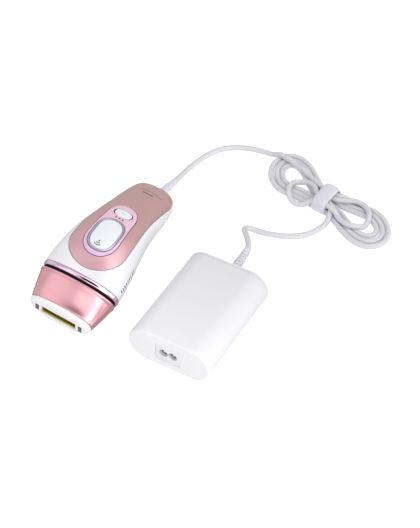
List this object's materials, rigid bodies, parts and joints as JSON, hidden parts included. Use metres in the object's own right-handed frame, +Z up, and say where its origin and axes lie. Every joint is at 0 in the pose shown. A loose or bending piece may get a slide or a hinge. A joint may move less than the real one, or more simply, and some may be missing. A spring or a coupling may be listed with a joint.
{
  "type": "ipl hair remover",
  "caption": "Corded light-based hair remover: rounded handset with pull-off treatment head, flash and mode buttons, power adapter with figure-eight inlet, and a tied cord.",
  "frame": {"origin": "on the table, under the middle of the box around the handset and the adapter with their strain reliefs", "axes": "+Z up; -Y the way the treatment face and the mains inlet point; +X from the handset to the adapter"},
  "size_m": [0.2302, 0.2877, 0.0558],
  "materials": {
    "gloss_white": "gloss white, injection moulded",
    "rose_gold": "satin rose-gold metallic",
    "panel_pink": "satin pink",
    "pink_chrome": "pink-lilac chrome plating",
    "satin_white": "satin white",
    "cord_white": "satin white soft PVC",
    "tie_fabric": "woven hook-and-loop tie",
    "black_plastic": "black",
    "grey_plastic": "grey",
    "gold_reflector": "bright gold light duct",
    "sensor_grey": "dark grey",
    "filter_glass": "orange filter glass",
    "polished_aluminium": "polished",
    "lamp_glass": "clear quartz",
    "ceramic_white": "unglazed",
    "steel": "bright steel",
    "copper_winding": "enamelled copper wire",
    "capacitor_sleeve": "dark blue sleeve",
    "circuit_board": "green solder mask",
    "transformer_yellow": "yellow tape",
    "indicator_lens": "smoked light pipe"
  },
  "bodies": {
    "body": {"lower_shell": "gloss_white", "upper_shell": "gloss_white", "top_cover": "rose_gold", "control_panel": "panel_pink", "flash_button_ring": "pink_chrome", "head_ring": "pink_chrome", "adapter_housing": "satin_white", "adapter_back_cap": "satin_white", "inlet_socket": "satin_white", "handset_strain_relief": "cord_white", "adapter_strain_relief": "cord_white", "handset_lead": "cord_white", "adapter_lead": "cord_white", "cord_hank": "cord_white", "cord_tie": "tie_fabric", "head_seal": "black_plastic", "flash_switch": "black_plastic", "mode_switch": "black_plastic", "fan_frame": "black_plastic", "control_chip": "black_plastic", "lamp_nozzle": "grey_plastic", "filter_glass": "filter_glass", "lamp_reflector": "polished_aluminium", "adapter_heat_sink": "polished_aluminium", "flash_lamp": "lamp_glass", "lamp_holder_left": "ceramic_white", "lamp_holder_right": "ceramic_white", "heat_sink": "steel", "shell_screw_1": "steel", "shell_screw_2": "steel", "shell_screw_3": "steel", "inlet_pin_left": "steel", "inlet_pin_right": "steel", "trigger_coil": "copper_winding", "filter_choke": "copper_winding", "flash_capacitor": "capacitor_sleeve", "bulk_capacitor": "capacitor_sleeve", "button_board": "circuit_board", "main_board": "circuit_board", "adapter_board": "circuit_board", "power_transformer": "transformer_yellow", "indicator_light_1": "indicator_lens", "indicator_light_2": "indicator_lens", "indicator_light_3": "indicator_lens"},
    "flash_button": {"flash_button": "gloss_white", "flash_plunger": "grey_plastic"},
    "mode_button": {"mode_button": "gloss_white", "mode_plunger": "grey_plastic"},
    "head": {"head_cap": "rose_gold", "treatment_face": "gloss_white", "window_frame": "gold_reflector", "skin_sensor_left": "sensor_grey", "skin_sensor_right": "sensor_grey"},
    "fan": {"fan_rotor": "grey_plastic"}
  },
  "joints": [
    {"name": "flash_button_press", "type": "slide", "parent": "body", "child": "flash_button", "axis": [-0.1392, 0, -0.9903], "range_m": [0, 0.0012], "stiffness_N_per_m": 1500, "springref_m": -0.0004},
    {"name": "mode_button_press", "type": "slide", "parent": "body", "child": "mode_button", "axis": [-0.1392, 0, -0.9903], "range_m": [0, 0.0008], "stiffness_N_per_m": 1500, "springref_m": -0.0004},
    {"name": "head_pull_off", "type": "slide", "parent": "body", "child": "head", "axis": [0, -1, 0], "range_m": [0, 0.03]},
    {"name": "fan_spin", "type": "hinge", "parent": "body", "child": "fan", "pos_m": [-0.05138, -0.01558, 0.01641], "axis": [0.1392, 0, 0.9903], "continuous": true}
  ]
}
